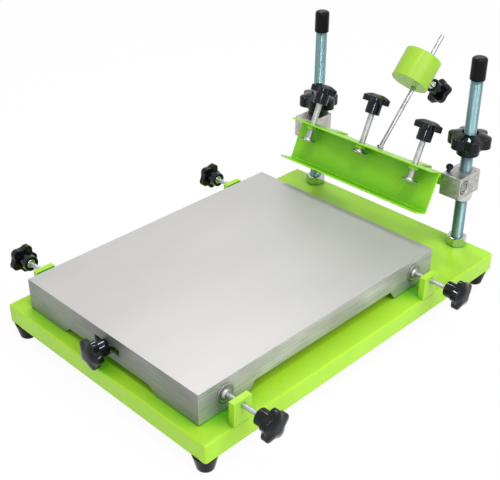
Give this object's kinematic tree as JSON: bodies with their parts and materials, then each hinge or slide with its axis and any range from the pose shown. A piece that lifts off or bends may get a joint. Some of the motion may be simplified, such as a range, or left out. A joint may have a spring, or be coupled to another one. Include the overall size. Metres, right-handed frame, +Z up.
{
  "type": "flatbed screen printing machine",
  "caption": "Bench screen printing machine: a folded tray on rubber feet, a steel platen between adjusting screws and a counterweighted clamp head that tilts and rides on threaded posts.",
  "frame": {"origin": "on the floor under the middle of the machine's bounding box", "axes": "+X to the operator's right along the front edge, +Y from the front to the clamp head, +Z up"},
  "size_m": [0.4556, 0.6384, 0.3099],
  "materials": {
    "green_paint": "gloss powder coat",
    "ground_steel": "fine ground",
    "plain_steel": "turned",
    "zinc_steel": "bright zinc plate",
    "aluminium": "satin",
    "black_plastic": "moulded gloss",
    "rubber": "smooth"
  },
  "bodies": {
    "base": {"base_tray": "green_paint", "lug_front_left": "green_paint", "lug_front_right": "green_paint", "lug_rear_left": "green_paint", "lug_rear_right": "green_paint", "foot_front_left": "rubber", "foot_front_right": "rubber", "foot_rear_left": "rubber", "foot_rear_right": "rubber", "front_bracket": "green_paint", "post_left": "zinc_steel", "post_right": "zinc_steel", "cap_left": "rubber", "cap_right": "rubber", "base_nut_left": "zinc_steel", "base_nut_right": "zinc_steel"},
    "front_adjuster": {"front_screw": "zinc_steel", "front_knob": "black_plastic"},
    "platen_table": {"platen": "ground_steel"},
    "carriage": {"block_left": "aluminium", "block_right": "aluminium", "block_nut_left": "zinc_steel", "block_nut_right": "zinc_steel"},
    "wheel_left": {"handwheel_left": "black_plastic"},
    "wheel_right": {"handwheel_right": "black_plastic"},
    "head": {"clamp_channel": "green_paint", "hinge_shaft": "plain_steel", "counterweight_rod": "zinc_steel"},
    "weight_slider": {"counterweight": "green_paint", "weight_screw": "zinc_steel", "weight_knob": "black_plastic"},
    "side_adjuster_front_left": {"side_screw_front_left": "zinc_steel", "side_knob_front_left": "black_plastic"},
    "side_adjuster_front_right": {"side_screw_front_right": "zinc_steel", "side_knob_front_right": "black_plastic"},
    "side_adjuster_rear_left": {"side_screw_rear_left": "zinc_steel", "side_knob_rear_left": "black_plastic"},
    "side_adjuster_rear_right": {"side_screw_rear_right": "zinc_steel", "side_knob_rear_right": "black_plastic"},
    "clamp_left": {"clamp_screw_left": "zinc_steel", "clamp_knob_left": "black_plastic"},
    "clamp_middle": {"clamp_screw_middle": "zinc_steel", "clamp_knob_middle": "black_plastic"},
    "clamp_right": {"clamp_screw_right": "zinc_steel", "clamp_knob_right": "black_plastic"}
  },
  "joints": [
    {"name": "registration_y", "type": "slide", "parent": "base", "child": "front_adjuster", "axis": [0, 1, 0], "range_m": [-0.006, 0.006]},
    {"name": "registration_x", "type": "slide", "parent": "front_adjuster", "child": "platen_table", "axis": [1, 0, 0], "range_m": [-0.006, 0.006]},
    {"name": "side_screw_front_left_slide", "type": "slide", "parent": "base", "child": "side_adjuster_front_left", "axis": [1, 0, 0], "range_m": [-0.006, 0.006]},
    {"name": "side_screw_front_right_slide", "type": "slide", "parent": "base", "child": "side_adjuster_front_right", "axis": [1, 0, 0], "range_m": [-0.006, 0.006]},
    {"name": "side_screw_rear_left_slide", "type": "slide", "parent": "base", "child": "side_adjuster_rear_left", "axis": [1, 0, 0], "range_m": [-0.006, 0.006]},
    {"name": "side_screw_rear_right_slide", "type": "slide", "parent": "base", "child": "side_adjuster_rear_right", "axis": [1, 0, 0], "range_m": [-0.006, 0.006]},
    {"name": "carriage_height", "type": "slide", "parent": "base", "child": "carriage", "axis": [0, 0, 1], "range_m": [-0.008, 0.03]},
    {"name": "handwheel_left_travel", "type": "slide", "parent": "carriage", "child": "wheel_left", "axis": [0, 0, 1], "range_m": [0, 0.02]},
    {"name": "handwheel_right_travel", "type": "slide", "parent": "carriage", "child": "wheel_right", "axis": [0, 0, 1], "range_m": [-0.0209, 0]},
    {"name": "head_tilt", "type": "hinge", "parent": "carriage", "child": "head", "pos_m": [0, 0.18054, 0.144], "axis": [-1, 0, 0], "range_deg": [-24.5, 0]},
    {"name": "clamp_screw_left_travel", "type": "slide", "parent": "head", "child": "clamp_left", "axis": [0, 0.4147, 0.91], "range_m": [-0.024, 0.008]},
    {"name": "clamp_screw_middle_travel", "type": "slide", "parent": "head", "child": "clamp_middle", "axis": [0, 0.4147, 0.91], "range_m": [-0.034, 0]},
    {"name": "clamp_screw_right_travel", "type": "slide", "parent": "head", "child": "clamp_right", "axis": [0, 0.4147, 0.91], "range_m": [-0.025, 0.007]},
    {"name": "counterweight_travel", "type": "slide", "parent": "head", "child": "weight_slider", "axis": [0, 0.6909, 0.723], "range_m": [-0.048, 0.035]}
  ],
  "couplings": [
    {"joint": "side_screw_front_left_slide", "follows": "registration_x", "ratio": 1},
    {"joint": "side_screw_front_right_slide", "follows": "registration_x", "ratio": 1},
    {"joint": "side_screw_rear_left_slide", "follows": "registration_x", "ratio": 1},
    {"joint": "side_screw_rear_right_slide", "follows": "registration_x", "ratio": 1}
  ]
}
